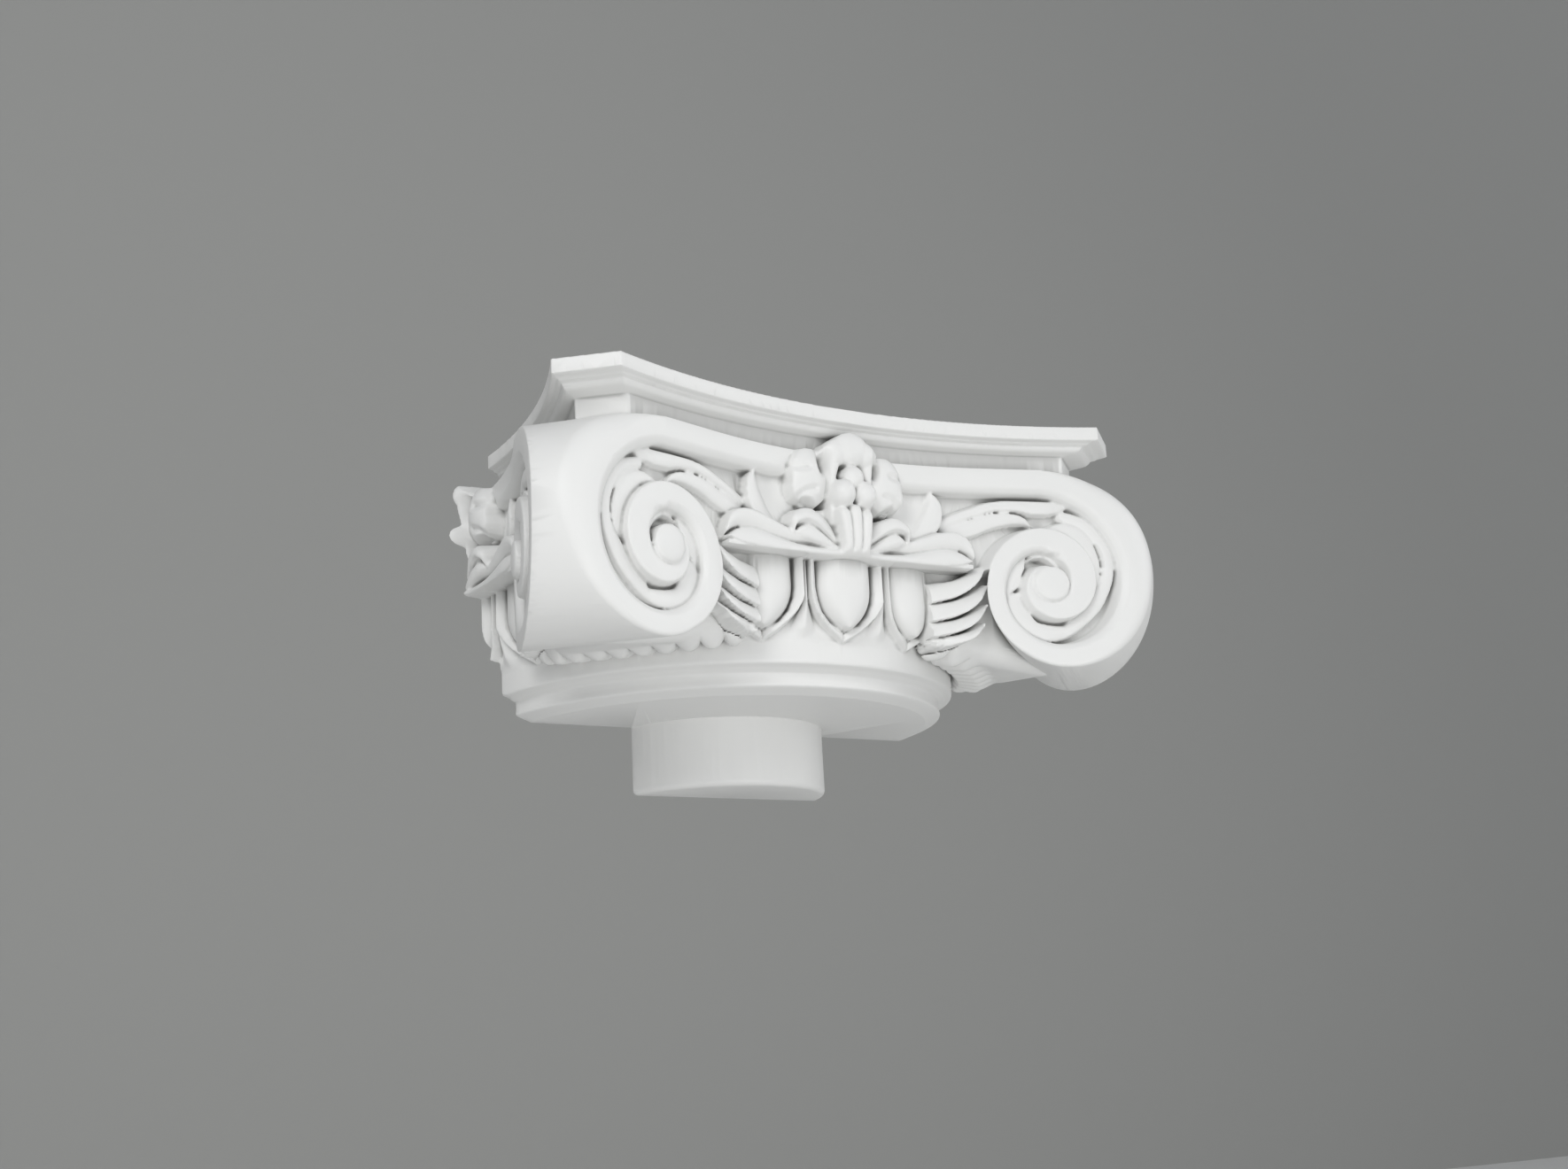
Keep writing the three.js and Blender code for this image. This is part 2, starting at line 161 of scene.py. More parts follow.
out_x, out_z = FX - EYE_X, FZ - EYE_Z
radius = np.hypot(out_x, out_z)
quarter = np.mod(np.arctan2(out_x, out_z) / (np.pi / 2), 4)
bands = np.full(FX.shape, -CHANNEL_DEPTH)
for turn, lip, drop in ((0, LIP, LIP_DROP), (1, INNER_LIP, INNER_LIP_DROP)):
    outer = band_radius(BAND_OUTER, quarter + 4 * turn)
    inner = band_radius(BAND_INNER, quarter + 4 * turn)
    lipped = step_down(radius - inner, lip, drop)
    edged = np.minimum(rounded_edge(outer - radius, BAND_ROUNDING), step_down(outer - radius))
    walled = np.minimum(lipped, edged)
    if turn == 0:
        # Here the band's outer edge is the scroll's own outline, which is cut later.
        walled = np.where(quarter < 3, lipped, walled)
    bands = np.maximum(bands, walled)
straight_rim = np.where(FX < EYE_X, step_down(FZ - RIM_BELOW, LIP, LIP_DROP), NOTHING_THERE)
bands = np.maximum(bands, straight_rim)
eye_dome = EYE_DOME * np.clip(1 - (radius / EYE_RADIUS) ** 2, 0, 1) ** 0.3
bands = np.where(radius < EYE_RADIUS, np.maximum(bands, eye_dome), bands)
# The channel ends a little deeper, just over the eye.
bands -= 2.0 * dimple(97, 61.4, 5, 1.6)


def band_outline():
    """Signed distance to the volute's outside edge: below 0 within it."""
    run = np.linspace(0, OUTLINE_QUARTERS, 120)
    edge = band_radius(BAND_OUTER, run)
    points = np.stack([EYE_X + edge * np.sin(run * np.pi / 2), EYE_Z + edge * np.cos(run * np.pi / 2)], 1)
    _, away = nearest(points, FX, FZ)
    within = (radius < band_radius(BAND_OUTER, quarter)) | (away == 0)
    return np.where(within, -np.abs(away), np.abs(away))


scroll_outline = band_outline()
bands = np.where((FX < EYE_X) & (FZ > RIM_TOP), NOTHING_THERE, bands)


# The husk leaves and lobes that fill the channel. They are carved in the face and cast with it.
# Each leaf lies between two edges, given as x and height from its root to its tip, and stands
# at the given heights in front of the face. Its crown falls away to the edges.
LEAST_HALF_WIDTH = 0.3
relief = bands


def curve(points, count=40):
    """A smooth line through a few points, in even steps."""
    p = np.asarray(points, float)
    chord = np.r_[0, np.cumsum(np.sqrt(np.linalg.norm(np.diff(p, axis=0), axis=1)))]
    slope = np.gradient(p, chord, axis=0)
    t = np.linspace(0, chord[-1], 8 * count)
    i = np.clip(np.searchsorted(chord, t, side="right") - 1, 0, len(p) - 2)
    span = (chord[i + 1] - chord[i])[:, None]
    u = (t - chord[i])[:, None] / span
    dense = ((1 + 2 * u) * (1 - u) ** 2 * p[i] + u * (1 - u) ** 2 * span * slope[i]
             + u * u * (3 - 2 * u) * p[i + 1] + u * u * (u - 1) * span * slope[i + 1])
    length = np.r_[0, np.cumsum(np.linalg.norm(np.diff(dense, axis=0), axis=1))]
    even = np.linspace(0, length[-1], count)
    return np.stack([np.interp(even, length, dense[:, k]) for k in (0, 1)], 1)


def window(points, margin=2):
    """The part of the lattice round some points."""
    low, high = np.min(points, 0) - margin, np.max(points, 0) + margin
    i = slice(*np.searchsorted(across, (low[0], high[0])))
    k = slice(*np.searchsorted(height, (low[1], high[1])))
    return i, k


def leaf(left, right, lift, drop=1.5, hollow=0.0, tilt=0.0, on=relief):
    """Raises a leaf between two edges. It may be hollow in the middle, or tilted up to the first edge."""
    a, b = curve(left), curve(right)
    i, k = window(np.r_[a, b])
    middle = (a + b) / 2
    along, side = nearest(middle, FX[i, k], FZ[i, k])
    half_way = len(a) // 2
    ahead = middle[half_way + 1] - middle[half_way - 1]
    to_left = a[half_way] - middle[half_way]
    turned = np.sign(ahead[0] * to_left[1] - ahead[1] * to_left[0])
    share = np.linspace(0, 1, len(a))
    half = np.maximum(np.interp(along, share, np.linalg.norm(a - b, axis=1) / 2), LEAST_HALF_WIDTH)
    s = np.abs(side) / half
    lifted = np.interp(along, np.linspace(0, 1, len(lift)), lift)
    crown = np.clip(1 - s * s, 0, 1) ** 0.5
    form = lifted - drop * (1 - crown) - hollow * np.clip(1 - s * s * 2, 0, 1)
    form += tilt * np.clip(turned * side / half, -1, 1)
    on[i, k] = np.where(s <= 1, np.maximum(on[i, k], form), on[i, k])


# Lobes in the winding channel.
leaf([(98, 74.5), (107, 77.5), (116, 74.5), (120, 68.5), (122.3, 61.5), (122.3, 55.5), (121, 51),
      (114.8, 46)],
     [(96, 73), (104, 73), (110, 68.5), (114.2, 62), (115.8, 55.5), (116, 51.5), (115.4, 48.5),
      (114.8, 46)],
     [-4.6, -4, -4, -4.4, -5.5])
leaf([(108, 84), (114, 82), (119.5, 78), (124.5, 71.5), (128, 61.5), (127.6, 53.5), (125, 45.5),
      (121, 38.5), (115, 32.5), (108, 27), (103, 24.4)],
     [(107, 78.5), (114, 76), (119, 70.5), (122.6, 63.5), (123, 57), (121.6, 51), (117, 45.5),
      (113, 40.5), (108.5, 36), (104.5, 32.5), (101.5, 26)],
     [-5, -4, -3.6, -3.6, -3.8, -4.4, -5.4])
leaf([(102.5, 24.6), (95, 23.4), (88, 25.4), (82, 29.8), (78, 36), (77, 39.5), (79, 43.6), (84.5, 46.4)],
     [(103.5, 31), (98, 30.8), (92.5, 31.3), (89.5, 34), (87.6, 37), (86.4, 40), (85.4, 43), (84.8, 46)],
     [-5.2, -3.8, -3.6, -4, -4.2])
leaf([(77.3, 40), (75.9, 45), (76.2, 52), (78.6, 57.6), (83, 61.4), (87.4, 62.3)],
     [(77.6, 40), (80.5, 45.4), (84, 48), (85.4, 52.5), (87.4, 56.5), (88.2, 61)],
     [-5.5, -4, -3.4, -3.4, -4.4], hollow=0.7)
leaf([(88.6, 61), (92, 63), (97, 62.6), (101, 60), (103.6, 55.6), (104.2, 51)],
     [(89, 59.8), (92.4, 61.2), (96.4, 60.8), (99.6, 58.4), (102, 54.8), (103.6, 51)],
     [-5.5, -4.6, -4.2, -4.4, -5.5], drop=1.6)

# The two husk leaves that run along under the rim into the volute.
leaf([(51, 78.5), (58, 82), (65, 84.6), (72, 87), (80, 88.2), (90, 88.4), (100, 88.3), (107, 88.8),
      (112, 86.2)],
     [(50.5, 74), (60, 78), (66, 79.9), (71, 81.6), (77, 82.8), (84, 82.8), (95, 81), (104, 82.4),
      (111.6, 85.8)],
     [-5.6, -4.4, -3.4, -3.2, -3.2, -3.8, -5.6])
leaf([(50.5, 74), (60, 78), (66, 79.5), (71, 81.2), (77, 82.4), (84, 82.3), (89.5, 80.6), (92.8, 76.2)],
     [(52, 68), (60, 69.5), (66, 71.4), (71, 73.8), (77, 75.6), (84, 76.9), (88.5, 76.8), (92.6, 75.6)],
     [-5.8, -4.8, -4, -3.6, -3.8, -5.4])

# The broad hollow leaf behind the crescent, the crescent, and the long leaf on the shelf with its fold.
leaf([(10, 64), (19, 73), (25, 82), (27, 92)], [(28, 63), (39, 69), (46, 77), (47, 92)],
     [-3, -3.6, -4, -4.4], drop=0.4, hollow=1.4)
leaf([(30, 65), (38, 67.3), (45, 70), (48.8, 74), (50.2, 80), (49.2, 86), (44.6, 91.2)],
     [(31, 67), (34, 70.6), (38.4, 75.6), (41.4, 80.6), (43, 84.6), (43.6, 88), (44.2, 91)],
     [-5, -2.6, -1.4, -1.2, -3], drop=2.6, tilt=0.8)
leaf([(9, 62), (31, 65.6), (40, 68), (48, 70.4), (55, 71), (60, 69), (63, 63.5), (63.6, 58.6)],
     [(9, 58.4), (27, 59.6), (38, 62), (46, 63.8), (53, 64), (58, 62.6), (61.6, 60.2), (63.4, 58.4)],
     [3, 3, 2.4, 1.4, -1.5], drop=2.6, tilt=0.8)
leaf([(9, 58.4), (27, 59.4), (38, 61.6), (46, 63.4), (53, 63.6), (58, 62.2), (61.8, 59.4)],
     [(9, 55), (27, 54.8), (38, 54.6), (46, 54.8), (53, 55.4), (58, 56.4), (61.6, 58)],
     [6, 5, 3.6, 2.4, -0.5], drop=2.4, tilt=-1)

# The small leaf curled over it, in two folds.
leaf([(8, 64), (12, 69.5), (17.5, 73.4), (23, 75), (27.5, 73.6), (30.8, 69.8), (30, 64)],
     [(8, 60.4), (12, 63.2), (16.6, 66.4), (20, 68), (23.5, 68.6), (26.6, 67.8), (28.6, 65)],
     [5, 6, 7, 7, 6.4, 4], drop=3.2, tilt=-1)
leaf([(8, 60.2), (12, 62.8), (16.6, 66), (20, 67.4), (23.5, 68), (26, 67), (28.4, 64.4)],
     [(8, 57), (12, 58), (16.6, 59.2), (20, 60.2), (23.5, 61), (26, 61.8), (28.4, 63.4)],
     [6, 6.4, 6.4, 5.6, 3.4], drop=3)


# The open flower in the middle of the face, which stands up over the rim. It has two cupped petals
# to a side, a curled petal beside the stem, a crest petal, and three seeds in a hollow.
FLOWER_TOP = 111.5
SEED_HOLLOW_HALF, SEED_HOLLOW_FOOT, SEED_HOLLOW_TOP, SEED_HOLLOW_FLOOR = 5.4, 76, 97.5, 3.5


def raise_to(form, where):
    """Lifts the relief to a form, inside an area."""
    relief[...] = np.where(where, np.maximum(relief, form), relief)


def ball(x, z, half_width, half_height, lift, drop, power=0.5):
    r = np.hypot((FX - x) / half_width, (FZ - z) / half_height)
    raise_to(lift - drop * (1 - np.clip(1 - r * r, 0, 1) ** power), r <= 1)


def groove(points, wide, deep):
    """Cuts a groove along a line, fading out at both ends."""
    line = curve(points)
    i, k = window(line, wide + 1)
    along, side = nearest(line, FX[i, k], FZ[i, k])
    taper = np.minimum(1, 6 * np.minimum(along, 1 - along) + 0.15)
    relief[i, k] -= deep * taper * np.clip(1 - np.abs(side) / wide, 0, 1)


ball(18.6, 89.6, 10, 13.6, 6.8, 5.4, 0.6)
ball(23.4, 84.6, 5.6, 6.4, 5.2, 3.6, 0.6)
groove([(29.6, 94.4), (25, 92.8), (19, 93.6)], 2.6, 1.8)
groove([(27, 78.6), (23, 82), (16, 84.4)], 2.2, 1.6)
leaf([(7, 70), (7.6, 76), (8.4, 82), (6.8, 90), (5.4, 96), (8, 101), (9, 105)],
     [(10, 70), (10.8, 76), (11.8, 82), (11, 90), (12.4, 96), (15, 101), (11, 105)],
     [5, 5.6, 6.4, 7.4, 8.6, 9.2, 8], drop=3)
in_hollow = (FX < SEED_HOLLOW_HALF) & (FZ > SEED_HOLLOW_FOOT) & (FZ < SEED_HOLLOW_TOP)
relief[...] = np.where(in_hollow, np.minimum(relief, SEED_HOLLOW_FLOOR), relief)
ball(0, 102.6, 9.4, 8, 11.8, 5.4)
ball(7, 100.8, 6, 6.4, 10.6, 5)
ball(0, 89.6, 5.4, 6, 13, 7)
ball(5.2, 82.4, 5.9, 6.8, 14, 8.5)


# The flower's stem: three ribs, with a skirt beside them, that swell out over the shelf at the foot.
# The stem stands proud of the face and is cast in one with it.
STEM_FOOT, STEM_FULL = 54.4, 13
STEM_PROFILE = [(STEM_FOOT, 6), (55.4, 9), (57.2, 11.2), (60, 12.4), (66, STEM_FULL), (73, STEM_FULL)]
RIB_CLOSING, RIB_NARROWING = [(57, 0.72), (76, 1)], [(57, 0.84), (72, 1)]
RIB_ROUNDING, RIB_FALL = 5, 4.6
SWELLING = [(STEM_FOOT, 4), (55.2, 6.6), (56.4, 7.4), (57.8, 6.4), (60, 3)]


def following(stations, value):
    """Runs straight from one station to the next, each a place and the size that it has there."""
    places, sizes = zip(*stations)
    return np.interp(value, places, sizes)


def stem_rib(x, half, top, proud):
    """A rib of the stem, rounded over at its top and fading out in the swelling at its foot."""
    middle = x * following(RIB_CLOSING, FZ)
    width = half * following(RIB_NARROWING, FZ)
    across_rib = np.clip(1 - ((FX - middle) / width) ** 2, 0, 1)
    over_top = np.clip((FZ - top + RIB_ROUNDING) / RIB_ROUNDING, 0, 1)
    rounding = RIB_ROUNDING * (1 - np.sqrt(np.clip(1 - over_top ** 2, 0, 1)))
    form = following(STEM_PROFILE, FZ) - STEM_FULL + proud - rounding
    crown = form - RIB_FALL * ramp(FZ, 55.4, 59) * (1 - across_rib ** 0.5)
    raise_to(crown, (np.abs(FX - middle) < width) & (FZ < top) & (FZ > STEM_FOOT))


skirt = 3.4 - 0.8 * (FX - 8)
raise_to(skirt, (FX > 7) & (FX < 19) & (FZ > 60) & (FZ < 77))
stem_rib(0, 3, 78.4, 11.8)
stem_rib(5.8, 3.1, 76.6, 11.6)
swelling = following(SWELLING, FZ) - 2.6 * ramp(FX, 4, 22)
raise_to(swelling, (FX < 24) & (FZ < 60) & (FZ > STEM_FOOT))

# The deep hollow beside the seeds, and the undercut of the small curled leaf.
relief -= 8 * dimple(13.4, 96, 1.8, 4)
groove([(16.5, 74.5), (19.5, 77.4), (24, 79)], 2.0, 6)
groove([(8.6, 60.4), (15, 65), (20, 67.8), (24, 68.4), (28, 66.4)], 1.0, 2.2)


# The palmette of four lobes that fills the corner between the outer egg and the scroll.
# It is carved on the web under the scroll, so it has a relief of its own.
palmette = np.full(FX.shape, NOTHING_THERE)
PALMETTE_LOBES = [
    ([(69.5, 60), (62, 54), (54, 50.8), (44, 49.8)], [(70, 57.6), (62, 47.6), (54, 42.8), (44, 40.4)]),
    ([(69.5, 50), (62, 45), (54, 41.8), (44, 40.8)], [(69.6, 47.6), (62, 38.6), (54, 34.2), (44.2, 32)]),
    ([(69, 41), (62, 36.4), (54, 33.2), (44.2, 32.4)], [(68.6, 38.6), (61, 30.4), (54, 27), (45.5, 25.2)]),
    ([(67.6, 32.4), (61, 28.6), (54, 26.4), (45.5, 25.6)], [(66, 30), (60, 23.6), (54, 21.4), (49, 20.6)]),
]
for upper, lower in PALMETTE_LOBES:
    leaf(upper, lower, [-6, -3.2, -2.6, -3.6, -5.6], drop=1.8, tilt=-1.8, on=palmette)


# The bell: neck, necking mouldings, and three eggs to a face in raised shells with darts between.
# It is turned about the column's axis, so it is worked out against the angle and the height.
# Profiles and radii are measured from the axis; the halves of eggs, shells and darts run along the curve.
NECK_PROFILE = [
    (0, 98.7), (2.2, 104.8), (2.9, 106.2), (5.5, 105.7), (8.8, 105.9), (9.3, 108.2), (10.4, 108.6),
    (11, 111.6), (12.2, 112.2), (21.5, 112.2), (24, 113), (32, 113.6), (60, 113.6),
]
MID_RADIUS = 118.0
GROUND_RADIUS = 112.4
DART_FOOT = 20.6
DART_HALF = [(DART_FOOT, 8.6), (23, 7.2), (30, 4), (36, 1.6), (39, 1.2), (60, 1.2)]
SHELL_FOOT, SHELL_LIP = 20.4, 0.86
SHELL_IN = [(24.6, 0), (28.5, 7.4), (33, 11.6), (38, 13.8), (43, 14.6), (60, 14.6)]
SHELL_OUT = [(SHELL_FOOT, 0), (24, 6.4), (28, 11.4), (32, 15.2), (36, 17.4), (39, 18.1), (60, 18.1)]
EGG_PITCH, EGG_HALF, EGG_TIP, EGG_SWELL = 18.8, 14.4, 24.4, 11.0
ANGLE_STEP = 0.1

angle = np.arange(0, 45 + ANGLE_STEP, ANGLE_STEP)
# The bell's surface unrolled: the angle round the axis from the middle of a face, and the height.
AN, AZ = np.meshgrid(angle, height, indexing="ij")
bell = following(NECK_PROFILE, AZ)
beside = np.abs(np.radians(AN - EGG_PITCH / 2) * MID_RADIUS)
t = beside / following(DART_HALF, AZ)
dart = (GROUND_RADIUS + 4.6 * ramp(AZ, 20.5, 40)
        + 2.6 * ramp(AZ, DART_FOOT, 27) * (1 - np.minimum(t, 1)))
bell = np.where((t < 1) & (AZ > DART_FOOT), np.maximum(bell, dart), bell)
for egg_angle in (0.0, EGG_PITCH):
    beside = np.abs(np.radians(AN - egg_angle) * MID_RADIUS)
    shell_in = following(SHELL_IN, AZ)
    shell_out = following(SHELL_OUT, AZ)
    t = (beside - shell_in) / np.maximum(shell_out - shell_in, 0.01)
    fall = np.clip((AZ - SHELL_FOOT) / 18, 0, 1) ** 0.8
    shell = 114.8 + 7.2 * fall - (1.2 + 2.6 * fall) * (1 - np.clip(t, 0, 1)) ** 1.3
    shell = np.where(t > SHELL_LIP, shell - 1.2 * ((t - SHELL_LIP) / 0.14) ** 2, shell)
    bell = np.where((t > 0) & (t < 1), np.maximum(bell, shell), bell)
    bell = np.where((t <= 0) & (AZ > 24.6), np.minimum(bell, GROUND_RADIUS), bell)
    above = AZ - EGG_TIP - 1
    egg_half = EGG_HALF * np.clip(1 - np.clip(1 - above / 19, 0, 1) ** 2.0, 0, 1) ** 0.6
    s = beside / np.maximum(egg_half, 0.01)
    egg = 112.6 + EGG_SWELL * np.clip(1 - s ** 2.2, 0, 1) ** 0.5 - 3.6 * np.clip(1 - above / 15, 0, 1) ** 2
    bell = np.where((s < 1) & (above > 0), np.maximum(bell, egg), bell)


# The finished faces and bell. Rubbed down a little, the heights become surfaces to measure each
# point of the lattice against. The side faces are carved prouder than the front one, and the web
# that carries the palmette fills in under the scrolls.
STEEPEST = 5.0
SIDE_FULLER = 1.3
WEB_FRONT = [(46, 114), (78, 117), (117, 117), (118, 60)]
WEB_FROM, WEB_BACK = 43.5, 98.0


def softened(field):
    """The same heights after a light rubbing down."""
    for axis in (0, 1):
        count = field.shape[axis]
        padded = np.concatenate([field.take([0], axis), field, field.take([-1], axis)], axis)
        before, after = padded.take(range(count), axis), padded.take(range(2, count + 2), axis)
        field = 0.25 * before + 0.5 * field + 0.25 * after
    return field


def steepness(field, spacing_a, spacing_b):
    """How much further apart two points are over a surface than straight in front of it."""
    ga, gb = np.gradient(field, spacing_a, spacing_b)
    return np.minimum(np.sqrt(1 + ga * ga + gb * gb), STEEPEST)


face_relief = softened(relief)
face = face_depth(FX) + face_relief
face_steep = steepness(face, STEP, STEP)
side_face = face_depth(FX) + np.where(face_relief > 0, SIDE_FULLER * face_relief, face_relief)
side_steep = steepness(side_face, STEP, STEP)
web_front = following(WEB_FRONT, across)[:, None]
web = np.where(FX > WEB_FROM, np.maximum(web_front, face_depth(FX) + palmette), WEB_BACK)
web_steep = steepness(web, STEP, STEP)
bell = softened(bell)
bell_steep = steepness(bell, np.radians(ANGLE_STEP) * MID_RADIUS, STEP)


# The abacus: a plate with four hollowed edges and cut corners, over the rim and the scrolls.
# It is stepped back in small mouldings to a recessed band below. The setback is how far each
# height stands behind the top edge.
ABACUS_TOP, ABACUS_BELOW = 121.5, 100.0
ABACUS_FRONT, ABACUS_SIDE, ABACUS_HOLLOW = 151.0, 141.6, 24.7
CHAMFER_X, CHAMFER_Y = 21.3, 19.0
ABACUS_SETBACK = [(100, 10.4), (110.2, 10), (110.8, 7.2), (111.6, 5.4), (112.8, 4.6), (113.5, 4.4),
                  (113.9, 3), (114.7, 2.4), (115.2, 0), (122, 0)]
CORNER_SETBACK = 1.75

# A level as it is seen from above: how far out from the middle each point lies, and how far forward.
PX, PD = np.meshgrid(across, depth, indexing="ij")


def hollowed(half_length, corner, along, out):
    """How far each point lies outside an edge that is hollowed to an arc between its two corners."""
    arc = (half_length ** 2 + ABACUS_HOLLOW ** 2) / (2 * ABACUS_HOLLOW)
    return arc - np.hypot(along, out - (corner - ABACUS_HOLLOW + arc))


abacus_front = hollowed(ABACUS_SIDE - CHAMFER_X, ABACUS_FRONT, PX, PD)
abacus_side = hollowed(ABACUS_FRONT - AXIS_BEHIND_WALL - CHAMFER_Y, ABACUS_SIDE, PD - AXIS_BEHIND_WALL, PX)
chamfer = math.hypot(CHAMFER_X, CHAMFER_Y)
cut_x, cut_y = CHAMFER_Y / chamfer, CHAMFER_X / chamfer
abacus_corner = (PX - ABACUS_SIDE) * cut_x + (PD - ABACUS_FRONT + CHAMFER_Y) * cut_y
setback = following(ABACUS_SETBACK, height)
setback_steep = np.minimum(np.sqrt(1 + np.gradient(setback, STEP) ** 2), STEEPEST)


# The scrolls' blocks. A scroll is ruled square across the corner's diagonal, so a point takes the
# outline found where its own line across meets the face. Its arrises are rounded, least below
# the scroll and towards the middle of the face.
ARRIS_LOW, ARRIS_HIGH, ARRIS_LEAST = 1.5, 7.5, 0.4
SIDE_OUT = 2.0
BLOCK_BELOW = 55.2

line_out = across + face_depth(across)
ruled_x = np.interp(PX + PD, line_out, across)
arris_above = np.clip(ARRIS_LEAST + 0.35 * (ruled_x - EYE_X - 1), ARRIS_LEAST, ARRIS_HIGH)
arris_below = np.clip(ARRIS_LEAST + 0.1 * (ruled_x - EYE_X + 30), ARRIS_LEAST, ARRIS_HIGH)
arris = np.interp(height, [12, 34, 62, 100], [ARRIS_LOW, 4.5, ARRIS_HIGH, ARRIS_HIGH])
ruled_index = np.clip((ruled_x - across[0]) / STEP, 0, len(across) - 2)
ruled_low = ruled_index.astype(int)
ruled_share = ruled_index - ruled_low
side_out = SIDE_OUT * ramp(PD, 60, 96)
block_corner = (PX + PD - EYE_X - face_depth(EYE_X)) * math.sqrt(0.5)


def rounded_join(a, b, radius):
    """Where two bounds meet, their arris is rounded to a radius."""
    rounded = np.hypot(a + radius, b + radius) - radius
    return np.where((a > -radius) & (b > -radius), rounded, np.maximum(a, b))


def along_rule(column):
    """What one level of a face has, carried across the corner along the scroll's ruling."""
    return column[ruled_low] * (1 - ruled_share) + column[ruled_low + 1] * ruled_share


# The shelf under the flower and its leaves, the stem's foot on it, the web under the scrolls with
# its ring of small leaf tips, and the half-round spigot that goes down into the column's shaft.
SHELF_TOP, SHELF_BELOW = 57.4, BLOCK_BELOW
SHELF_HALF, SHELF_FRONT, SHELF_BOW = 62.0, 125.8, 2.0
FLOWER_HALF, STEM_FOOT_HALF, STEM_DEEP = 15.8, 22.0, 4
WEB_BELOW = [(146, 24), (156, 21.4), (166, 19.6), (190, 16), (228, 12.6), (234, 40)]
WEB_ROUNDING = 9.0
TIPS_ROUND, TIP_LENGTH = 40, 4.2
SPIGOT_RADIUS, SPIGOT_END, SPIGOT_EDGE, SPIGOT_ROOT = 50.0, -31.0, 2.5, 10

plan_radius = np.hypot(PX, PD)
plan_angle = np.degrees(np.arctan2(PX, PD))
angle_index = np.clip(np.minimum(plan_angle, 90 - plan_angle) / ANGLE_STEP, 0, len(angle) - 2)
angle_low = angle_index.astype(int)
angle_share = angle_index - angle_low
shelf_edge = SHELF_FRONT + SHELF_BOW * (across / SHELF_HALF) ** 2
web_below = following(WEB_BELOW, PX + PD)
leaf_ring = np.abs(np.sin(np.radians(plan_angle - 45) * TIPS_ROUND)) ** 0.6
web_below -= TIP_LENGTH * leaf_ring * ramp(plan_radius, 112, 116) * (1 - ramp(plan_radius, 124, 134))


def round_bell(column):
    """What one level of the unrolled bell has, wrapped round the column's axis."""
    return column[angle_low] * (1 - angle_share) + column[angle_low + 1] * angle_share


def layer(k):
    """One level of the lattice: how far each of its points lies outside the casting, below 0 within."""
    z = height[k]
    front_gap = (PD - face[:, k][:, None]) / face_steep[:, k][:, None]
    side_gap = (PX - side_out - side_face[first_depth:, k][None, :]) / side_steep[first_depth:, k][None, :]
    faces = np.maximum(front_gap, side_gap)
    softness = np.minimum(arris[k], arris_above if z > EYE_Z else arris_below)
    scroll = np.maximum(rounded_join(along_rule(scroll_outline[:, k]), front_gap, softness), side_gap)
    block_top = np.where((PX < FLOWER_HALF) | (PD < FLOWER_HALF), FLOWER_TOP, RIM_TOP)
    block = np.maximum(np.maximum(faces, block_corner), np.maximum(z - block_top, BLOCK_BELOW - z))
    front_shelf = np.maximum(PX - SHELF_HALF, PD - shelf_edge[:, None])
    side_shelf = np.maximum(PD - SHELF_HALF, PX - shelf_edge[first_depth:][None, :])
    shelf = np.maximum(np.minimum(front_shelf, side_shelf), max(SHELF_BELOW - z, z - SHELF_TOP))
    stem_sides = np.minimum(PX, PD) - STEM_FOOT_HALF
    stem = np.maximum(faces, np.maximum(stem_sides, max(STEM_FOOT - z, z - SHELF_TOP)))
    stem = np.maximum(stem, FACE_MID - STEM_DEEP - np.maximum(PX, PD))
    web_gap = np.maximum((PD - web[:, k][:, None]) / web_steep[:, k][:, None],
                         (PX - web[first_depth:, k][None, :]) / web_steep[first_depth:, k][None, :])
    web_gap = np.maximum(rounded_join(web_gap, web_below - z, WEB_ROUNDING), z - SHELF_TOP)
    bell_gap = (plan_radius - round_bell(bell[:, k])) / round_bell(bell_steep[:, k])
    bell_gap = np.maximum(bell_gap, max(-z, z - SHELF_TOP))
    edges = np.maximum(abacus_front, abacus_side) + setback[k]
    plate = np.maximum(edges, abacus_corner + CORNER_SETBACK * setback[k])
    plate = np.maximum(plate / setback_steep[k], max(z - ABACUS_TOP, ABACUS_BELOW - z))
    spigot = np.maximum(plan_radius - SPIGOT_RADIUS, SPIGOT_END - z)
    spigot_edge = np.hypot(np.clip(plan_radius - SPIGOT_RADIUS + SPIGOT_EDGE, 0, None),
                           max(SPIGOT_END + SPIGOT_EDGE - z, 0)) - SPIGOT_EDGE
    spigot = np.maximum(np.maximum(spigot, spigot_edge), z - SPIGOT_ROOT)
    gap = scroll
    for other in (block, shelf, stem, web_gap, bell_gap, plate, spigot):
        gap = np.minimum(gap, other)
    return np.maximum(gap, AXIS_BEHIND_WALL - PD).astype(np.float32)


field = np.stack([layer(k) for k in range(len(height))], 2)
for outermost in (np.s_[-1], np.s_[:, -1], np.s_[:, :, -1], np.s_[:, :, 0]):
    field[outermost] = 1


# The casting as it comes out of the mould: its skin, worked out for the right half, and how far
# each place lies in a fold. Painted shade darkens the colour where most of the space around is filled.
FOLD_REACH = 2.5
FOLDS_FROM = 16


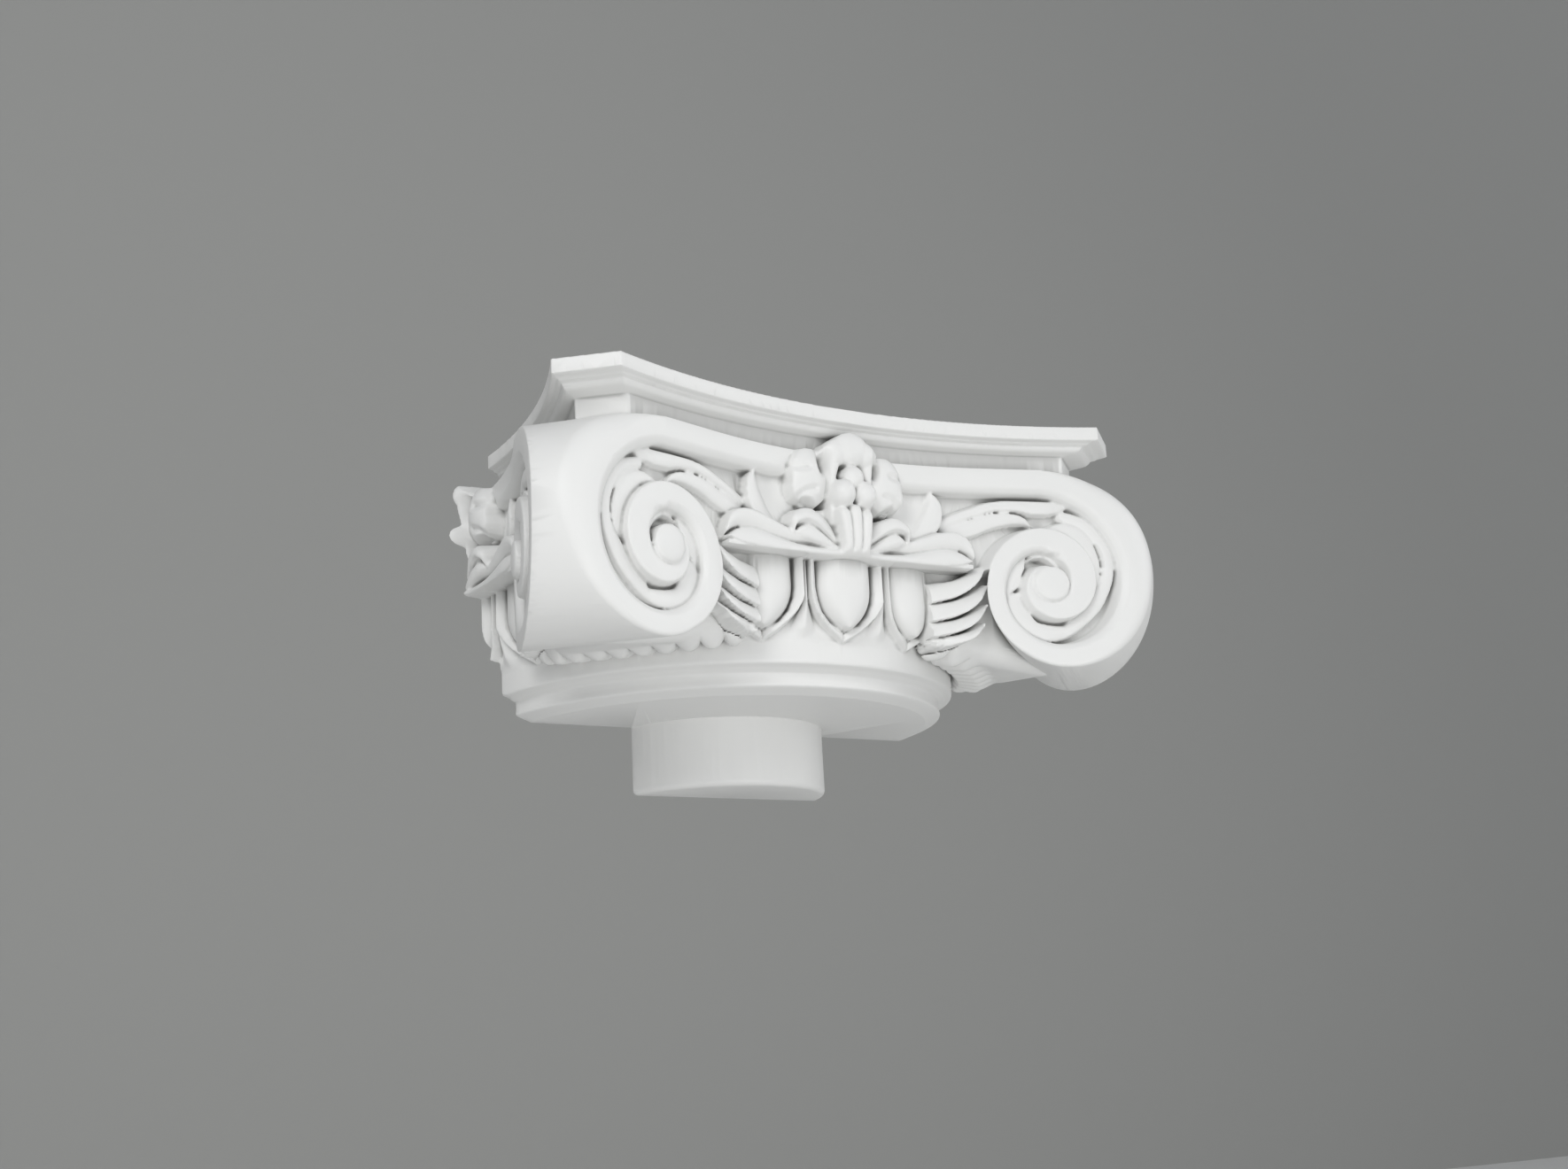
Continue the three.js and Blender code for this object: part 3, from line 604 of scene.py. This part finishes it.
def skinned(field):
    """The casting's skin: a point in each cell that the surface passes through, and a quad round
    each edge of the lattice that it crosses."""
    inside = field < 0
    shape = tuple(n - 1 for n in field.shape)
    corners = [(a, b, c) for a in (0, 1) for b in (0, 1) for c in (0, 1)]
    filled = np.zeros(shape, np.int8)
    for corner in corners:
        filled += inside[tuple(slice(o, o + n) for o, n in zip(corner, shape))]
    cells = np.argwhere((filled > 0) & (filled < 8))
    number = np.full(shape, -1, np.int32)
    number[tuple(cells.T)] = np.arange(len(cells))
    total = np.zeros((len(cells), 3))
    crossings = np.zeros(len(cells))
    for axis in range(3):
        for corner in corners:
            if corner[axis]:
                continue
            start = cells + corner
            end = start.copy()
            end[:, axis] += 1
            low, high = field[tuple(start.T)], field[tuple(end.T)]
            crossed = (low < 0) != (high < 0)
            share = np.where(crossed, low / np.where(low == high, 1, low - high), 0)
            place = start.astype(float)
            place[:, axis] += share
            total += place * crossed[:, None]
            crossings += crossed
    points = total / crossings[:, None]
    quads = []
    for axis in range(3):
        u, v = (axis + 1) % 3, (axis + 2) % 3
        here = [slice(1, n) for n in shape]
        here[axis] = slice(0, shape[axis])
        there = list(here)
        there[axis] = slice(1, shape[axis] + 1)
        now, then = inside[tuple(here)], inside[tuple(there)]
        edges = np.argwhere(now != then)
        leaving = now[tuple(edges.T)]
        edges[:, u] += 1
        edges[:, v] += 1
        ring = []
        for du, dv in ((0, 0), (-1, 0), (-1, -1), (0, -1)):
            cell = edges.copy()
            cell[:, u] += du
            cell[:, v] += dv
            ring.append(number[tuple(cell.T)])
        ring = np.stack(ring, 1)
        quads.append(np.where(leaving[:, None], ring, ring[:, ::-1]))
    return points, np.concatenate(quads)


def crowding(field, reach):
    """The share of the space round each lattice point that is filled. In a fold it is over a half."""
    filled = (field < 0).astype(np.float32)
    filled = np.concatenate([filled[reach:0:-1], filled], 0)
    width = 2 * reach + 1
    for axis in range(3):
        margins = [(reach + 1, reach) if a == axis else (0, 0) for a in range(3)]
        total = np.cumsum(np.pad(filled, margins, mode="edge"), axis=axis, dtype=np.float32)
        high = [slice(None)] * 3
        low = [slice(None)] * 3
        high[axis], low[axis] = slice(width, None), slice(0, -width)
        filled = (total[tuple(high)] - total[tuple(low)]) / width
    return filled[reach:]


points, quads = skinned(field)
places = np.stack([across[0] + points[:, 0] * STEP,
                   AXIS_BEHIND_WALL - (depth[0] + points[:, 1] * STEP),
                   height[0] + points[:, 2] * STEP], 1) * MM
on_seam = points[:, 0] < 1
places[on_seam, 0] = 0
crowded = crowding(field, max(1, round(FOLD_REACH / STEP)))
crowded[:, :, height < FOLDS_FROM] = 0
half_skin = bpy.data.meshes.new("half_skin")
half_skin.from_pydata(places, [], quads)


# The white finish: smooth, with a soft gloss, a trace of unevenness from the mould and painted
# shade in the folds, which the casting's own fold attribute places.
CAST_WHITE = (0.74, 0.74, 0.725, 1)
CAST_SHADE = (0.71, 0.71, 0.70, 1)
PAINTED_FOLD_SHADE = (0.26, 0.26, 0.25, 1)
PAINTED_SHADE_FROM, PAINTED_SHADE_FULL = 0.56, 0.84
MIX_FACTOR, MIX_FIRST, MIX_SECOND, MIX_COLOUR = 0, 6, 7, 2


class Shade:
    """A shader socket that can be added and multiplied like a number."""

    def __init__(self, tree, socket=None):
        self.tree, self.socket = tree, socket

    def node(self, kind, settings=None, sockets=None, output=0):
        """Adds a node with its settings and the values or links of its sockets, and gives an output."""
        made = self.tree.nodes.new(kind)
        for name, value in (settings or {}).items():
            setattr(made, name, value)
        for name, value in (sockets or {}).items():
            if isinstance(value, Shade):
                self.tree.links.new(value.socket, made.inputs[name])
            else:
                made.inputs[name].default_value = value
        return Shade(self.tree, made.outputs[output]) if len(made.outputs) else None

    def maths(self, operation, first, second):
        return self.node("ShaderNodeMath", {"operation": operation}, {0: first, 1: second})

    def __add__(self, other):
        return self.maths("ADD", self, other)

    def __radd__(self, other):
        return self.maths("ADD", other, self)

    def __mul__(self, other):
        return self.maths("MULTIPLY", self, other)

    def __rmul__(self, other):
        return self.maths("MULTIPLY", other, self)


def new_material(name):
    material = bpy.data.materials.new(name)
    material.use_nodes = True
    material.node_tree.nodes.clear()
    return material, Shade(material.node_tree)


cast_white, paint = new_material("cast_white")
place = paint.node("ShaderNodeTexCoord", output="Object")
mottle = paint.node("ShaderNodeTexNoise",
                    sockets={"Vector": place, "Scale": 18.0, "Detail": 4.0, "Roughness": 0.55})
grain = paint.node("ShaderNodeTexNoise", sockets={"Vector": place, "Scale": 420.0, "Detail": 3.0})
ripple = paint.node("ShaderNodeTexNoise", sockets={"Vector": place, "Scale": 60.0, "Detail": 2.0})
colour = paint.node("ShaderNodeMix", {"data_type": "RGBA"},
                    {MIX_FACTOR: mottle, MIX_FIRST: CAST_SHADE, MIX_SECOND: CAST_WHITE}, MIX_COLOUR)
fold = paint.node("ShaderNodeAttribute", {"attribute_name": "fold"}, output="Fac")
fold_shading = paint.node("ShaderNodeMapRange", {"interpolation_type": "SMOOTHSTEP"},
                   {"Value": fold, "From Min": PAINTED_SHADE_FROM, "From Max": PAINTED_SHADE_FULL,
                    "To Min": 0.0, "To Max": 1.0})
# Painted shade: the colour is darkened towards a dark grey where the fold attribute says a place lies deep
# in a fold.
colour = paint.node("ShaderNodeMix", {"data_type": "RGBA"},
                    {MIX_FACTOR: fold_shading, MIX_FIRST: colour, MIX_SECOND: PAINTED_FOLD_SHADE}, MIX_COLOUR)
bump = paint.node("ShaderNodeBump",
                  sockets={"Height": grain * 0.25 + ripple * 0.75, "Strength": 0.12, "Distance": 0.0006})
surface = paint.node("ShaderNodeBsdfPrincipled",
                     sockets={"Base Color": colour, "Roughness": 0.40 + mottle * 0.12, "Normal": bump,
                              "IOR": 1.46})
paint.node("ShaderNodeOutputMaterial", sockets={"Surface": surface})


# The whole casting, in one piece: the half skin is thinned to fewer triangles, joined to its mirror
# image on the seam and given its finish. Its edges are smooth up to the arrises, which stay sharp.
MOST_TRIANGLES = 190000
SEAM_GAP = 0.00002
SHARP_FROM = math.radians(42)


def mirror_tree():
    """Joins a half to its mirror image across the seam at x = 0, and gives it its finish."""
    tree = bpy.data.node_groups.new("both_halves", "GeometryNodeTree")
    tree.interface.new_socket("Half", in_out="INPUT", socket_type="NodeSocketGeometry")
    gap = tree.interface.new_socket("Seam gap", in_out="INPUT", socket_type="NodeSocketFloat")
    finish = tree.interface.new_socket("Finish", in_out="INPUT", socket_type="NodeSocketMaterial")
    tree.interface.new_socket("Whole", in_out="OUTPUT", socket_type="NodeSocketGeometry")
    start, end = tree.nodes.new("NodeGroupInput"), tree.nodes.new("NodeGroupOutput")
    mirrored = tree.nodes.new("GeometryNodeTransform")
    mirrored.inputs["Scale"].default_value = (-1, 1, 1)
    turned_out = tree.nodes.new("GeometryNodeFlipFaces")
    together = tree.nodes.new("GeometryNodeJoinGeometry")
    welded = tree.nodes.new("GeometryNodeMergeByDistance")
    real = tree.nodes.new("GeometryNodeRealizeInstances")
    finished = tree.nodes.new("GeometryNodeSetMaterial")
    link = tree.links.new
    link(start.outputs["Half"], mirrored.inputs["Geometry"])
    link(mirrored.outputs[0], turned_out.inputs[0])
    link(turned_out.outputs[0], together.inputs[0])
    link(start.outputs["Half"], together.inputs[0])
    link(together.outputs[0], real.inputs[0])
    link(real.outputs[0], welded.inputs["Geometry"])
    link(start.outputs["Seam gap"], welded.inputs["Distance"])
    link(welded.outputs[0], finished.inputs["Geometry"])
    link(start.outputs["Finish"], finished.inputs["Material"])
    link(finished.outputs[0], end.inputs[0])
    return tree, {"gap": gap.identifier, "finish": finish.identifier}


half_object = bpy.data.objects.new("half", half_skin)
bpy.context.scene.collection.objects.link(half_object)
reduced = half_object.modifiers.new("reduce", "DECIMATE")
reduced.ratio = min(1.0, MOST_TRIANGLES / 2 / (2 * len(quads)))
reduced.use_collapse_triangulate = True
mirror = half_object.modifiers.new("mirror", "NODES")
mirror.node_group, sockets = mirror_tree()
mirror[sockets["gap"]] = SEAM_GAP
mirror[sockets["finish"]] = cast_white
whole = bpy.data.meshes.new_from_object(half_object.evaluated_get(bpy.context.evaluated_depsgraph_get()))
bpy.data.objects.remove(half_object)
whole.polygons.foreach_set("use_smooth", np.ones(len(whole.polygons), bool))
whole.set_sharp_from_angle(angle=SHARP_FROM)


def folds_at(vertices):
    """How crowded each vertex of the whole casting is, read between the lattice points round it."""
    spots = np.empty(3 * len(vertices), np.float32)
    vertices.foreach_get("co", spots)
    spots = spots.reshape(-1, 3) / MM
    nodes = np.stack([(np.abs(spots[:, 0]) - across[0]) / STEP,
                      (AXIS_BEHIND_WALL - spots[:, 1] - depth[0]) / STEP,
                      (spots[:, 2] - height[0]) / STEP], 1)
    cell = np.clip(nodes.astype(int), 0, np.array(crowded.shape) - 2)
    share = np.clip(nodes - cell, 0, 1)
    values = np.zeros(len(nodes))
    for corner in ((a, b, c) for a in (0, 1) for b in (0, 1) for c in (0, 1)):
        weight = np.prod(np.where(corner, share, 1 - share), axis=1)
        values += weight * crowded[tuple((cell + corner).T)]
    return values.astype(np.float32)


# The fold attribute is the mask for the painted shade in the folds.
fold_shade_mask = whole.attributes.new("fold", "FLOAT", "POINT")
fold_shade_mask.data.foreach_set("value", folds_at(whole.vertices))
capital = bpy.data.objects.new("capital_casting", whole)
bpy.context.scene.collection.objects.link(capital)
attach(capital, "root")
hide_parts("half_capital")


# The stage: a plain pale floor below the camera and a plain grey wall behind, in a pale room.
# Neither is part of the capital, and neither touches it.
FLOOR_Z, BACKDROP_Y, STAGE_REACH = -0.42, 2.0, 6.0
FLOOR_SHADE = (0.75, 0.75, 0.74, 1)
BACKDROP_SHADE = (0.415, 0.415, 0.40, 1)
ROOM_SHADE, ROOM_STRENGTH = (0.9, 0.92, 0.95, 1), 0.54


def stage_piece(name, corners, shade):
    mesh = bpy.data.meshes.new(name)
    mesh.from_pydata(corners, [], [(0, 1, 2, 3)])
    material, maker = new_material(name)
    surface = maker.node("ShaderNodeBsdfPrincipled", sockets={"Base Color": shade, "Roughness": 0.9})
    maker.node("ShaderNodeOutputMaterial", sockets={"Surface": surface})
    mesh.materials.append(material)
    piece = bpy.data.objects.new(name, mesh)
    bpy.context.scene.collection.objects.link(piece)


far = STAGE_REACH
stage_piece("floor",
            [(-far, -far, FLOOR_Z), (far, -far, FLOOR_Z), (far, far, FLOOR_Z), (-far, far, FLOOR_Z)],
            FLOOR_SHADE)
stage_piece("backdrop",
            [(-far, BACKDROP_Y, FLOOR_Z), (far, BACKDROP_Y, FLOOR_Z),
             (far, BACKDROP_Y, far), (-far, BACKDROP_Y, far)],
            BACKDROP_SHADE)

world = bpy.data.worlds.new("room")
world.use_nodes = True
world.node_tree.nodes["Background"].inputs["Color"].default_value = ROOM_SHADE
world.node_tree.nodes["Background"].inputs["Strength"].default_value = ROOM_STRENGTH
bpy.context.scene.world = world
bpy.context.scene.view_settings.view_transform = "Standard"


# The lamps: a key high on the left, a broad fill from the right, and a low one from the front that
# lifts the underside. All three are large, soft and hidden from the camera, and aim at the capital.
LIT_PLACE = Vector((0, -0.05, 0.05))


def lamp(name, place, size, power):
    data = bpy.data.lights.new(name, "AREA")
    data.shape = "SQUARE"
    data.size = size
    data.energy = power
    light = bpy.data.objects.new(name, data)
    light.location = place
    light.rotation_euler = (LIT_PLACE - Vector(place)).to_track_quat("-Z", "Y").to_euler()
    light.visible_camera = False
    bpy.context.scene.collection.objects.link(light)


lamp("key", (-1.45, -1.35, 0.95), 0.9, 17)
lamp("fill", (1.8, -0.9, 0.7), 1.4, 10)
lamp("low", (-0.1, -0.75, -0.40), 0.8, 4.8)
